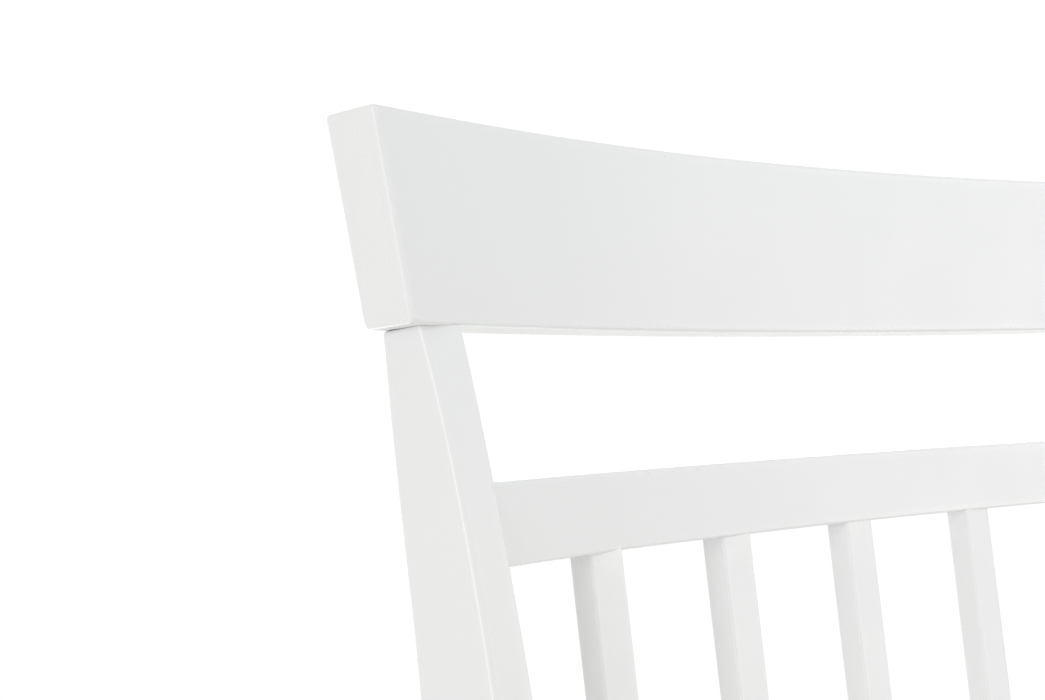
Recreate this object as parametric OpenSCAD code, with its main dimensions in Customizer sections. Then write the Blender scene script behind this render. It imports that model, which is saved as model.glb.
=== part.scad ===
// Rocking chair with a flared, curved crest rail, square tapered back posts, five flat
// spindles between two curved rails, a dished plank seat, flat arms and bolted rockers.
// Millimetres, +Z up, the chair faces -Y, left is the -X side.

/* [Crest rail] */
// Height of the crest rail along its face
crest_h = 78; // [66:1:90]
// Thickness of the crest rail
crest_t = 26; // [22:0.5:30]
// Half the length of the crest rail along its lower edge
crest_half = 282; // [276:1:290]
// Outward flare of the crest rail's ends
crest_flare = 11.3; // [4:0.1:14]
// Radius of the crest rail's front face, seen from above
crest_r = 1162; // [1000:10:1500]
// Backward lean of the crest rail
crest_lean = 9.8; // [7:0.1:12]
// Height of the crest rail's lower front edge above the floor
crest_z = 958; // [940:1:980]

/* [Back] */
// Radius of the two back rails' front faces, seen from above
rail_r = 1205; // [1100:5:1400]
// Height of the middle back rail
mid_h = 31; // [26:0.5:36]
// Thickness of both back rails
rail_t = 19; // [17:0.5:21]
// Drop from the crest rail's lower edge to the middle rail's lower edge
mid_drop = 84.8; // [78:0.2:92]
// Height of the lower back rail
low_h = 34; // [28:1:38]
// Spacing of the spindles at the middle rail
spindle_pitch = 91.2; // [80:0.2:96]
// Width of a spindle
spindle_w = 18.5; // [14:0.5:20]
// Depth of a spindle, front to back
spindle_d = 12; // [10:0.1:13]
// Backward lean of the spindles
spindle_lean = 13; // [12:0.1:14]

/* [Seat and legs] */
// Thickness of the seat plank
seat_t = 25; // [22:1:28]
// Depth of the dish in the seat
dish = 8; // [4:1:10]
// Height of the seat rails
apron_h = 52; // [44:1:58]
// Width of the front legs at the seat
leg_w = 36; // [34:1:38]
// Thickness of the arms
arm_t = 24; // [20:1:26]

/* [Rockers] */
// Radius of the rockers' lower edge
rocker_r = 1050; // [950:10:1200]
// Height of a rocker board
rocker_h = 38; // [34:1:42]
// Thickness of a rocker board
rocker_w = 24; // [22:1:28]
// Overall length of a rocker
rocker_len = 830; // [800:5:880]
// Place of the rocker arc's lowest point, which is under the chair's centre of mass
balance_y = -19.2; // [-60:0.1:40]

/* [Hidden] */

paint = [0.93, 0.93, 0.935];
steel = [0.72, 0.73, 0.75];
beech = [0.80, 0.66, 0.48];
glue = 0.1;                  // glue line around a tenon
deep = 1;                    // clearance at the bottom of a mortise

body_y = -20;                // place of everything above the rockers, along them
crest_y = body_y + 281;      // crest rail's lower front edge at the middle of the chair
mid_y = crest_y - 29.5;      // middle rail's lower front edge at the middle of the chair
mid_z = crest_z - mid_drop;
mid_lean = 13;               // lean of the middle rail's faces
mid_cut = 7.5;               // slope of its upper and lower edges
low_z = 471;                 // lower back rail's lower edge
low_lean = 11;
// the spindles' front faces run straight from one rail to the other
low_top_y = mid_y + 0.7 - (mid_z - low_z - low_h * cos(low_lean)) * tan(spindle_lean);
low_y = low_top_y - 0.7 - low_h * sin(low_lean);
leg_x = 247;                 // centre plane of each side frame
leg_y = body_y - 255;        // centre of the front legs
foot_y = body_y + 153;       // centre of the rear feet, at the rockers
seat_tilt = 2.5;
arm_tilt = 2.5;
rocker_in = rocker_r - rocker_h;

// heights along the side view
function seat_top(y) = 436 - (y - leg_y) * tan(seat_tilt);
function seat_low(y) = seat_top(y) - seat_t;
function arm_top(y) = 667 - (y - leg_y) * tan(arm_tilt);
function arc(x, r) = r - sqrt(r * r - x * x);
function rocker_top(y) = rocker_r - sqrt(rocker_in * rocker_in - (y - balance_y) * (y - balance_y));
function rocker_bot(y) = rocker_r - sqrt(rocker_r * rocker_r - (y - balance_y) * (y - balance_y));

// smooth curve through rows of [height, place], highest row first
function slope(p, i) = i == 0 ? (p[1][1] - p[0][1]) / (p[1][0] - p[0][0])
  : i == len(p) - 1 ? (p[i][1] - p[i - 1][1]) / (p[i][0] - p[i - 1][0])
  : (p[i + 1][1] - p[i - 1][1]) / (p[i + 1][0] - p[i - 1][0]);
function seg(p, z, i = 0) = (i >= len(p) - 2 || z >= p[i + 1][0]) ? i : seg(p, z, i + 1);
function herm(p, i, t) = let(h = p[i + 1][0] - p[i][0], a = p[i][1], b = p[i + 1][1], m = slope(p, i) * h, n = slope(p, i + 1) * h)
  (2 * t * t * t - 3 * t * t + 1) * a + (t * t * t - 2 * t * t + t) * m + (3 * t * t - 2 * t * t * t) * b + (t * t * t - t * t) * n;
function curve(p, z) = let(i = seg(p, z)) herm(p, i, (z - p[i][0]) / (p[i + 1][0] - p[i][0]));

// back post, side view: heights below the crest rail's lower edge
post_front = [[30, -19.5], [4, -28.2], [0, -29.5], [-20, -36.7], [-40, -44.6], [-60, -51.8], [-78, -57.4], [-100, -63.6], [-120, -68.8],
  [-156, -78], [-234, -97.6], [-312, -117.5], [-390, -137], [-468, -154], [-528, -164], [-600, -169.5], [-700, -166], [-800, -156],
  [-900, -145.5], [-960, -139]];
post_back = [[30, -5], [4, -5.6], [0, -5.7], [-20, -7.7], [-40, -11.6], [-60, -16.1], [-78, -19.6], [-100, -23.8], [-120, -27.3],
  [-156, -35], [-234, -54.3], [-312, -74.5], [-390, -93], [-468, -109.5], [-528, -119], [-600, -126], [-700, -125.5], [-800, -119],
  [-900, -110.5], [-960, -105]];
function front_y(z) = crest_y + curve(post_front, z - crest_z);
function back_y(z) = crest_y + curve(post_back, z - crest_z);
// back post, front view: outer and inner edge
post_out = [[30, 276], [4, 272.9], [0, 272.3], [-20, 270.3], [-40, 269.8], [-60, 269.3], [-78, 268.5], [-100, 267.4], [-120, 266.3],
  [-234, 265.6], [-351, 265.3], [-528, 265], [-960, 263]];
post_in = [[30, 254.5], [4, 252.3], [0, 251.8], [-20, 250.9], [-40, 251], [-60, 250.7], [-78, 249.9], [-100, 248.6], [-120, 247.2],
  [-234, 240.5], [-351, 234], [-528, 230], [-960, 233]];
function out_x(z) = curve(post_out, z - crest_z);
function in_x(z) = curve(post_in, z - crest_z);

zs = [for (z = [20 : -20 : -940]) z];

module along_x(a, b) { translate([a, 0, 0]) rotate([90, 0, 90]) linear_extrude(b - a) children(); }
module along_y(a, b) { translate([0, b, 0]) rotate([90, 0, 0]) linear_extrude(b - a) children(); }
module side(s) { if (s > 0) children(); else mirror([1, 0, 0]) children(); }
module box(a, b) { translate(a) cube([b[0] - a[0], b[1] - a[1], b[2] - a[2]]); }
module leaned(y, z, lean) { translate([0, y, z]) rotate([-lean, 0, 0]) children(); }

// curved board: front face of radius r, thickness t, height h, before its ends are cut
module band(r, t, h, half) {
  intersection() {
    difference() {
      translate([0, -r, 0]) cylinder(h = h, r = r + t, $fn = 360);
      translate([0, -r, -1]) cylinder(h = h + 2, r = r, $fn = 360);
    }
    translate([-half, -half * half / r, -1]) cube([2 * half, half * half / r + t + 1, h + 2]);
  }
}

module rocker_disc(r, a, b) { translate([a, balance_y, rocker_r]) rotate([0, 90, 0]) cylinder(h = b - a, r = r, $fn = 360); }

// back post without its mortises, right side
module post_raw() {
  difference() {
    intersection() {
      along_x(200, 300) polygon(concat([for (z = zs) [crest_y + curve(post_front, z), crest_z + z]],
        [for (i = [len(zs) - 1 : -1 : 0]) [crest_y + curve(post_back, zs[i]), crest_z + zs[i]]]));
      along_y(0, 400) polygon(concat([for (z = zs) [out_x(crest_z + z), crest_z + z]],
        [for (i = [len(zs) - 1 : -1 : 0]) [in_x(crest_z + zs[i]), crest_z + zs[i]]]));
      rocker_disc(rocker_in, 150, 350);
    }
    leaned(crest_y, crest_z, crest_lean) box([150, -120, 0], [350, 80, 120]);
  }
}
// everything between the two posts' inner faces
module between_posts() {
  along_y(0, 400) polygon(concat([for (z = zs) [in_x(crest_z + z), crest_z + z]],
    [for (i = [len(zs) - 1 : -1 : 0]) [-in_x(crest_z + zs[i]), crest_z + zs[i]]]));
}
// front leg without its mortises, right side; its top is cut to the arm's slope
module leg_raw() {
  intersection() {
    along_x(200, 300) polygon([[leg_y - 15, 20], [leg_y - leg_w / 2, 370], [leg_y - leg_w / 2, 440], [leg_y - 15, 700],
      [leg_y + 15, 700], [leg_y + leg_w / 2, 440], [leg_y + leg_w / 2, 370], [leg_y + 15, 20]]);
    along_y(-400, 0) polygon([[leg_x - 15, 20], [leg_x - leg_w / 2, 370], [leg_x - leg_w / 2, 440], [leg_x - 15, 700],
      [leg_x + 15, 700], [leg_x + leg_w / 2, 440], [leg_x + leg_w / 2, 370], [leg_x + 15, 20]]);
    along_x(200, 300) polygon([[-360, 0], [-200, 0], [-200, arm_top(-200) - arm_t], [-360, arm_top(-360) - arm_t]]);
    rocker_disc(rocker_in, 150, 350);
  }
}

// ---- tenons: g is the glue line (0 for the tenon), e the extra depth of the mortise
module mid_tenon(g = 0, e = 0) {
  x = in_x(mid_z + mid_h / 2);
  low = -arc(x, rail_r) * tan(mid_lean - mid_cut);
  leaned(mid_y, mid_z, mid_lean)
    box([x - 8, -arc(x, rail_r) + rail_t / 2 - 4 - g, low + 5 - g], [x + 13 + e, -arc(x, rail_r) + rail_t / 2 + 4 + g, low + mid_h - 5 + g]);
}
module low_tenon(g = 0, e = 0) {
  x = in_x(low_z + low_h / 2);
  leaned(low_y, low_z, low_lean)
    box([x - 8, -arc(x, rail_r) + rail_t / 2 - 4 - g, 5 - g], [x + 16 + e, -arc(x, rail_r) + rail_t / 2 + 4 + g, low_h - 5 + g]);
}
apron_back = [body_y + 129, body_y + 150];     // back seat rail, front and back face
apron_front = [leg_y - 14, leg_y + 8];  // front seat rail, front and back face
module back_apron_tenon(g = 0, e = 0) {
  z = seat_low(apron_back[0]);
  x = in_x(z - 26);
  box([x - 8, apron_back[0] + 7 - g, z - apron_h + 8 - g], [x + 14 + e, apron_back[0] + 16 + g, z - 10 + g]);
}
module front_apron_tenon(g = 0, e = 0) {
  z = seat_low(apron_front[0]);
  box([leg_x - leg_w / 2 - 8, apron_front[0] + 6 - g, z - apron_h + 8 - g], [leg_x - leg_w / 2 + 12 + e, apron_front[0] + 15 + g, z - 10 + g]);
}
module side_apron_tenons(g = 0, e = 0) {
  ya = leg_y + leg_w / 2; yb = front_y(385);
  along_x(leg_x - 5 - g, leg_x + 5 + g)
    polygon([[ya - 12 - e, seat_low(ya) - apron_h + 8 - g], [yb + 16 + e, seat_low(yb) - apron_h + 8 - g],
      [yb + 16 + e, seat_low(yb) - 9 + g], [ya - 12 - e, seat_low(ya) - 9 + g]]);
}
side_str_z = 176;
module side_stretcher_tenons(g = 0, e = 0) {
  box([leg_x - 4 - g, leg_y + 4 - e, side_str_z + 5 - g], [leg_x + 4 + g, front_y(side_str_z) + 15 + e, side_str_z + 25 + g]);
}
cross_str_z = 232;
module front_stretcher_tenon(g = 0, e = 0) {
  box([leg_x - leg_w / 2 - 8, leg_y - 4 - g, cross_str_z + 5 - g], [leg_x - 2 + e, leg_y + 4 + g, cross_str_z + 25 + g]);
}
rear_str_y = body_y + 129;
module rear_stretcher_tenon(g = 0, e = 0) {
  box([222, rear_str_y + 5 - g, cross_str_z + 5 - g], [246 + e, rear_str_y + 13 + g, cross_str_z + 25 + g]);
}
module arm_tenon(g = 0, e = 0) {
  z = arm_top(leg_y) - arm_t;
  box([leg_x - 9 - g, leg_y - 9 - g, z - 20], [leg_x + 9 + g, leg_y + 9 + g, z + 12 + e]);
}
// dowel that joins a post's end to the crest rail
module crest_dowel(r = 5, e = 0) {
  leaned(crest_y, crest_z, crest_lean) translate([262, -17.6, -22 - e]) cylinder(h = 44 + 2 * e, r = r, $fn = 48);
}

// ---- spindles: k counts from the left, -2 to 2
function sp_x(k) = k * spindle_pitch;
sp_len = (mid_z - low_z - low_h * cos(low_lean)) / cos(spindle_lean);
module spindle_frame(k) {
  x = sp_x(k);
  translate([x, mid_y - arc(x, rail_r), mid_z]) rotate([-spindle_lean, 0, 0]) rotate([0, k * 0.2, 0]) children();
}
module spindle_bar(k) {
  spindle_frame(k) box([-spindle_w / 2, 0.7, -sp_len - 12], [spindle_w / 2, 0.7 + spindle_d, 12]);
}
module spindle_tenons(k, g = 0, e = 0) {
  spindle_frame(k) box([-spindle_w / 2 + 2 - g, 2.4 - g, -sp_len - 12 - e], [spindle_w / 2 - 2 + g, spindle_d - 1 + g, 10 + e]);
}
module spindle(k) {
  color(paint) union() {
    difference() {
      spindle_bar(k);
      leaned(mid_y, mid_z, mid_cut) box([-260, -80, 0], [260, 80, 60]);
      leaned(low_y, low_z, low_lean) box([-260, -80, -60], [260, 80, low_h]);
    }
    spindle_tenons(k);
  }
}

// ---- back
module crest_rail() {
  color(paint) difference() {
    leaned(crest_y, crest_z, crest_lean) intersection() {
      band(crest_r, crest_t, crest_h, 310);
      along_y(-120, 80) polygon([[-crest_half, 0], [crest_half, 0],
        [crest_half + crest_h * tan(crest_flare), crest_h], [-crest_half - crest_h * tan(crest_flare), crest_h]]);
    }
    for (s = [-1, 1]) side(s) crest_dowel(5 + glue / 2, 1);
  }
}
module back_post(s) {
  color(paint) side(s) difference() {
    post_raw();
    crest_dowel(5 + glue / 2, 1);
    mid_tenon(glue, deep);
    low_tenon(glue, deep);
    back_apron_tenon(glue, deep);
    side_apron_tenons(glue, deep);
    side_stretcher_tenons(glue, deep);
    rear_stretcher_tenon(glue, deep);
    arm_bolt_hole();
    rocker_bolt_hole(foot_y, true);
  }
}
module mid_rail() {
  color(paint) union() {
    difference() {
      intersection() {
        leaned(mid_y, mid_z, mid_lean) translate([0, 0, -12]) band(rail_r, rail_t, mid_h + 24, 275);
        leaned(mid_y, mid_z, mid_cut) box([-300, -80, 0], [300, 60, mid_h]);
        between_posts();
      }
      for (k = [-2 : 2]) spindle_tenons(k, glue, deep);
    }
    for (s = [-1, 1]) side(s) mid_tenon();
  }
}
module lower_back_rail() {
  color(paint) union() {
    difference() {
      intersection() {
        leaned(low_y, low_z, low_lean) band(rail_r, rail_t, low_h, 275);
        between_posts();
      }
      for (k = [-2 : 2]) spindle_tenons(k, glue, deep);
    }
    for (s = [-1, 1]) side(s) low_tenon();
  }
}

// ---- seat
seat_half = 258;
seat_front = body_y - 284;
seat_back = body_y + 157;
nose_half = leg_x - leg_w / 2 - 0.3;  // the seat's front edge runs between the legs
dish_rad = 195;              // radius of the dish's rim
dish_r = (dish_rad * dish_rad + dish * dish) / (2 * dish);
module seat() {
  color(paint) difference() {
    intersection() {
      along_x(-seat_half, seat_half) polygon([[seat_front + 4, seat_low(seat_front)], [seat_back, seat_low(seat_back)],
        [seat_back, seat_top(seat_back)], [seat_front + 6, seat_top(seat_front)], [seat_front + 1.5, seat_top(seat_front) - 2],
        [seat_front, seat_top(seat_front) - 7]]);
      // plan, with the front corners eased
      translate([0, 0, 350]) linear_extrude(150) polygon(concat(
        [[-seat_half, seat_back], [-seat_half, leg_y], [-nose_half, leg_y]],
        [for (a = [180 : 10 : 270]) [-nose_half + 9 + 9 * cos(a), seat_front + 9 + 9 * sin(a)]],
        [for (a = [270 : 10 : 360]) [nose_half - 9 + 9 * cos(a), seat_front + 9 + 9 * sin(a)]],
        [[nose_half, leg_y], [seat_half, leg_y], [seat_half, seat_back]]));
    }
    translate([0, body_y - 62, seat_top(body_y - 62)]) rotate([-seat_tilt, 0, 0]) translate([0, 0, dish_r - dish]) sphere(r = dish_r, $fn = 360);
    for (s = [-1, 1]) side(s) {
      // notches round the front legs and the back posts
      box([leg_x - leg_w / 2 - 0.3, seat_front - 10, 380], [300, leg_y + leg_w / 2 + 0.3, 480]);
      box([in_x(420) - 0.6, front_y(395) - 0.4, 380], [300, seat_back + 20, 480]);
      block_seat_screw_hole();
    }
  }
}
module seat_rail_front() {
  z = seat_low(apron_front[0]);
  color(paint) difference() {
    union() {
      along_x(-(leg_x - leg_w / 2), leg_x - leg_w / 2) polygon([[apron_front[0], z - apron_h], [apron_front[1], z - apron_h],
        [apron_front[1], seat_low(apron_front[1])], [apron_front[0], z]]);
      for (s = [-1, 1]) side(s) front_apron_tenon();
    }
    for (s = [-1, 1]) side(s) block_pilots();
  }
}
module seat_rail_back() {
  z = seat_low(apron_back[0]);
  color(paint) difference() {
    union() {
      intersection() {
        along_x(-260, 260) polygon([[apron_back[0], z - apron_h], [apron_back[1], z - apron_h],
          [apron_back[1], seat_low(apron_back[1])], [apron_back[0], z]]);
        between_posts();
      }
      for (s = [-1, 1]) side(s) back_apron_tenon();
    }
    for (s = [-1, 1]) side(s) block_pilots();
  }
}
module seat_rail_side(s) {
  ya = leg_y + 10; yb = front_y(385) + 20;
  color(paint) side(s) difference() {
    union() {
      difference() {
        along_x(leg_x - 11, leg_x + 11) polygon([[ya, seat_low(ya) - apron_h], [yb, seat_low(yb) - apron_h], [yb, seat_low(yb)], [ya, seat_low(ya)]]);
        leg_raw();
        post_raw();
        box([230, front_y(385) + 12, 300], [270, front_y(385) + 60, 450]);
      }
      side_apron_tenons();
    }
    block_pilots();
  }
}

// ---- legs, arms and stretchers
module front_leg(s) {
  color(paint) side(s) difference() {
    union() { leg_raw(); arm_tenon(); }
    front_apron_tenon(glue, deep);
    side_apron_tenons(glue, deep);
    side_stretcher_tenons(glue, deep);
    front_stretcher_tenon(glue, deep);
    rocker_bolt_hole(leg_y, true);
  }
}
// arm, seen from above: straight inside edge, outside edge that widens to a rounded front
arm_out = [[190, 270], [60, 276], [-80, 285], [-200, 290], [-280, 290]];
module arm(s) {
  color(paint) side(s) difference() {
    intersection() {
      along_x(200, 320) polygon([[-360, arm_top(-360) - arm_t], [200, arm_top(200) - arm_t], [200, arm_top(200)], [-360, arm_top(-360)]]);
      translate([0, 0, 560]) linear_extrude(160) polygon(concat(
        [for (y = [180 : -20 : -260]) [curve(arm_out, y), body_y + y]],
        [for (a = [0 : -10 : -90]) [290 - 28 + 28 * cos(a), body_y - 280 + 28 * sin(a)]],
        [for (a = [-90 : -10 : -180]) [229 + 20 + 20 * cos(a), body_y - 288 + 20 * sin(a)]],
        [[229, body_y + 180]]));
    }
    // the rear end lies against the post
    along_x(200, 320) polygon(concat([for (z = [-240 : -20 : -400]) [crest_y + curve(post_front, z), crest_z + z]], [[300, crest_z - 400], [300, crest_z - 240]]));
    arm_tenon(glue, deep);
    arm_bolt_hole();
    arm_nut_hole();
  }
}
module side_stretcher(s) {
  color(paint) side(s) union() {
    difference() {
      box([leg_x - 9, leg_y + 8, side_str_z], [leg_x + 9, front_y(side_str_z) + 12, side_str_z + 30]);
      leg_raw();
      post_raw();
    }
    side_stretcher_tenons();
  }
}
module front_stretcher() {
  color(paint) union() {
    difference() {
      box([-leg_x + 4, leg_y - 9, cross_str_z], [leg_x - 4, leg_y + 9, cross_str_z + 30]);
      for (s = [-1, 1]) side(s) leg_raw();
    }
    for (s = [-1, 1]) side(s) front_stretcher_tenon();
  }
}
module rear_stretcher() {
  color(paint) union() {
    difference() {
      box([-leg_x + 4, rear_str_y, cross_str_z], [leg_x - 4, rear_str_y + 18, cross_str_z + 30]);
      for (s = [-1, 1]) side(s) post_raw();
    }
    for (s = [-1, 1]) side(s) rear_stretcher_tenon();
  }
}

// ---- rockers
rocker_mid = rocker_r - rocker_h / 2;
end_r = rocker_h / 2 + 0.6;  // rounding of a rocker's end
rock_a = asin((rocker_len / 2 - end_r + balance_y) / rocker_mid);
rock_b = asin((rocker_len / 2 - end_r - balance_y) / rocker_mid);
// e is -1 for the front end and 1 for the back end, t the end's angle round the arc, p the angle round the end
function end_pt(e, t, p) = [balance_y + e * rocker_mid * sin(t) + end_r * e * (cos(p) * cos(t) - sin(p) * sin(t)),
  rocker_r - rocker_mid * cos(t) + end_r * (cos(p) * sin(t) + sin(p) * cos(t))];
module rocker(s) {
  color(paint) side(s) difference() {
    intersection() {
      difference() {
        rocker_disc(rocker_r, leg_x - rocker_w / 2, leg_x + rocker_w / 2);
        rocker_disc(rocker_in, leg_x - rocker_w / 2 - 1, leg_x + rocker_w / 2 + 1);
      }
      along_x(leg_x - rocker_w, leg_x + rocker_w) polygon(concat([[balance_y, rocker_r]],
        [for (p = [90 : -12 : -90]) end_pt(-1, rock_a, p)], [[balance_y, -500]],
        [for (p = [-90 : 12 : 90]) end_pt(1, rock_b, p)]));
    }
    for (y = [leg_y, foot_y]) rocker_bolt_hole(y, false);
  }
}

// ---- fasteners
bolt_up = 78;                // bolt length above its head
// the rocker bolt's head sits this far above the rocker's lower edge
function head_z(y) = rocker_bot(y) + 8;
module rocker_bolt_hole(y, nut) {
  translate([leg_x, y, head_z(y) - 30]) cylinder(h = 36, r = 6.5, $fn = 48);
  translate([leg_x, y, head_z(y)]) cylinder(h = bolt_up + 12, r = 3.3, $fn = 48);
  if (nut) translate([leg_x - 40, y, head_z(y) + bolt_up - 2]) rotate([0, 90, 0]) cylinder(h = 47, r = 5.05, $fn = 48);
}
module bolt(len, head) {
  difference() {
    union() { cylinder(h = len, r = 3, $fn = 48); translate([0, 0, -head]) cylinder(h = head, r = 5, $fn = 48); }
    translate([0, 0, -head - 1]) cylinder(h = 4.5, r = 2.9, $fn = 6);
  }
}
module rocker_bolts() {
  color(steel) for (s = [-1, 1]) side(s) for (y = [leg_y, foot_y]) translate([leg_x, y, head_z(y) + 6]) bolt(bolt_up, 6);
}
module barrel_nut(len) {
  difference() { cylinder(h = len, r = 5, $fn = 48); translate([0, 0, len / 2]) rotate([90, 0, 0]) translate([0, 0, -8]) cylinder(h = 16, r = 3.05, $fn = 48); }
}
module rocker_barrel_nuts() {
  color(steel) for (s = [-1, 1]) side(s) for (y = [leg_y, foot_y])
    translate([leg_x - 7, y, head_z(y) + bolt_up - 2]) rotate([0, 90, 0]) rotate([0, 0, 90]) barrel_nut(14);
}
// arm bolt: from behind the post, square to the arm's end
arm_bolt_z = arm_top(body_y + 155) - arm_t / 2;
arm_bolt_x = 252.5;
arm_ang = 14;                // slope of the bolt, square to the post
arm_by = front_y(arm_bolt_z);
module arm_bolt_frame() { translate([arm_bolt_x, arm_by, arm_bolt_z]) rotate([90 - 4, 0, 0]) children(); }
module arm_bolt_hole() {
  arm_bolt_frame() translate([0, 0, -60]) cylinder(h = 105, r = 3.3, $fn = 48);
  arm_bolt_frame() translate([0, 0, -80]) cylinder(h = 52, r = 6.5, $fn = 48);
}
module arm_nut_hole() { arm_bolt_frame() translate([0, 0, 30]) rotate([90, 0, 0]) translate([0, 0, -7.5]) cylinder(h = 40, r = 5.05, $fn = 48); }
module arm_bolts() { color(steel) for (s = [-1, 1]) side(s) arm_bolt_frame() translate([0, 0, -28]) bolt(70, 5); }
module arm_barrel_nuts() {
  color(steel) for (s = [-1, 1]) side(s) arm_bolt_frame() translate([0, 0, 30]) rotate([90, 0, 0]) translate([0, 0, -7])
    difference() { cylinder(h = 14, r = 5, $fn = 48); translate([0, 0, 7]) rotate([90, 0, 0]) translate([0, 0, -8]) cylinder(h = 16, r = 3.05, $fn = 48); }
}
// round caps over the arm bolts' heads, behind the posts
module bolt_caps() {
  color(paint) for (s = [-1, 1]) side(s) arm_bolt_frame() translate([0, 0, -cap_z]) {
    translate([0, 0, -2]) cylinder(h = 2, r = 8, $fn = 48);
    cylinder(h = 3.5, r = 6.4, $fn = 48);
  }
}
cap_z = (back_y(arm_bolt_z) - arm_by) * cos(4) + 2.2;

module crest_dowels() { color(beech) for (s = [-1, 1]) side(s) crest_dowel(5, 0); }

// ---- corner blocks: diagonal braces between the seat rails
block_h = 26;
module block_frame(front) {
  // inner faces of the two rails that meet at this corner
  if (front) translate([leg_x - 11, apron_front[1], seat_low(apron_front[1] + 88) - 0.3 - block_h]) children();
  else translate([leg_x - 11, apron_back[0], seat_low(apron_back[0]) - 0.3 - block_h]) mirror([0, 1, 0]) children();
}
module corner_block(s, front) {
  color(beech) side(s) difference() {
    block_frame(front) linear_extrude(block_h) polygon([[-58, 0], [0, 58], [0, 88], [-88, 0]]);
    if (front) leg_raw(); else post_raw();
    block_seat_screw_hole();
    block_screw_at(front, 2.1);
    block_head_seats(front);
  }
}
module block_seat_screw_hole() {
  for (f = [true, false]) block_frame(f) {
    translate([-36, 36, -1]) cylinder(h = 42, r = 2.3, $fn = 32);
    translate([-36, 36, -1]) cylinder(h = 5, r = 4.6, $fn = 32);
  }
}
// screws through the ends of the blocks into the rails
module block_screw_at(f, r) {
  block_frame(f) {
    translate([-70, -14, 13]) rotate([-90, 0, 0]) cylinder(h = 60, r = r, $fn = 32);
    translate([-46, 70, 13]) rotate([0, 90, 0]) cylinder(h = 60, r = r, $fn = 32);
  }
}
module block_head_seats(f) {
  block_frame(f) {
    translate([-70, 13, 13]) rotate([-90, 0, 0]) cylinder(h = 20, r = 4.3, $fn = 32);
    translate([-33, 70, 13]) rotate([0, 90, 0]) cylinder(h = 20, r = 4.3, $fn = 32);
  }
}
module block_pilots() { for (f = [true, false]) block_screw_at(f, 2.05); }
module wood_screw(len, r, head_r) {
  rotate_extrude($fn = 32) polygon([[0, 0], [head_r, 0], [head_r, 1], [r, head_r - r + 1], [r, len - 5], [0, len]]);
}
module seat_screws() {
  color(steel) for (s = [-1, 1]) side(s) for (f = [true, false]) block_frame(f) translate([-36, 36, 1.2]) wood_screw(38, 2, 4.2);
}
module block_screws() {
  color(steel) for (s = [-1, 1]) side(s) for (f = [true, false]) block_frame(f) {
    translate([-70, 16.5, 13]) rotate([90, 0, 0]) wood_screw(30, 2, 4);
    translate([-16.5, 70, 13]) rotate([0, 90, 0]) wood_screw(30, 2, 4);
  }
}

crest_rail();
back_post(-1);  // back_post_left
back_post(1);  // back_post_right
mid_rail();
lower_back_rail();
spindle(-2);  // spindle_1
spindle(-1);  // spindle_2
spindle(0);  // spindle_3
spindle(1);  // spindle_4
spindle(2);  // spindle_5
seat();
seat_rail_front();
seat_rail_back();
seat_rail_side(-1);  // seat_rail_left
seat_rail_side(1);  // seat_rail_right
front_leg(-1);  // front_leg_left
front_leg(1);  // front_leg_right
arm(-1);  // arm_left
arm(1);  // arm_right
side_stretcher(-1);  // side_stretcher_left
side_stretcher(1);  // side_stretcher_right
front_stretcher();
rear_stretcher();
rocker(-1);  // rocker_left
rocker(1);  // rocker_right
corner_block(-1, true);  // corner_block_front_left
corner_block(1, true);  // corner_block_front_right
corner_block(-1, false);  // corner_block_back_left
corner_block(1, false);  // corner_block_back_right
crest_dowels();
seat_screws();
block_screws();
rocker_bolts();
rocker_barrel_nuts();
arm_bolts();
arm_barrel_nuts();
bolt_caps();
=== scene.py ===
import math

import bmesh
import bpy
from mathutils import Matrix, Vector, noise


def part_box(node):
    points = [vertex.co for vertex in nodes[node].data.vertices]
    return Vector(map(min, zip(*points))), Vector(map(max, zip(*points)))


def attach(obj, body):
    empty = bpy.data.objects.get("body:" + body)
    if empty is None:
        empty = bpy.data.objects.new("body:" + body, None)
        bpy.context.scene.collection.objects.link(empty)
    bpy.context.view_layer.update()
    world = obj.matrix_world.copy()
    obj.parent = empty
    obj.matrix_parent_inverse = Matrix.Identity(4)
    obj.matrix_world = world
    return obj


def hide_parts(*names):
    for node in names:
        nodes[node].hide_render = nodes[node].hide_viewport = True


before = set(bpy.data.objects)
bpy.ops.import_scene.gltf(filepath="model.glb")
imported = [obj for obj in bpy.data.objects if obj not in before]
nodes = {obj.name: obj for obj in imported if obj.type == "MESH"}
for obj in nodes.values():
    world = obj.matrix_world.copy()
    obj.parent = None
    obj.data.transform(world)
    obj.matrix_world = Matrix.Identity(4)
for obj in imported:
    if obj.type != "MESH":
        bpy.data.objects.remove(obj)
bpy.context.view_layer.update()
MM = 0.001
rad = math.radians


# ---------------------------------------------------------------- the chair's own dimensions, mm
def box_mm(node):
    lo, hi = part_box(node)
    return lo / MM, hi / MM


CREST_H, CREST_T, CREST_HALF, CREST_FLARE, CREST_R, CREST_LEAN = 78.0, 26.0, 282.0, 11.3, 1162.0, 9.8
RAIL_R, RAIL_T, MID_H, LOW_H, MID_LEAN, MID_CUT, LOW_LEAN = 1205.0, 19.0, 31.0, 34.0, 13.0, 7.5, 11.0
PITCH, SP_W, SP_D, SP_LEAN = 91.2, 18.5, 12.0, 13.0
ARM_T, LEG_W, APRON_H = 24.0, 36.0, 52.0
ROCKER_R, ROCKER_H, ROCKER_W, ROCKER_LEN = 1050.0, 38.0, 24.0, 830.0

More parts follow.
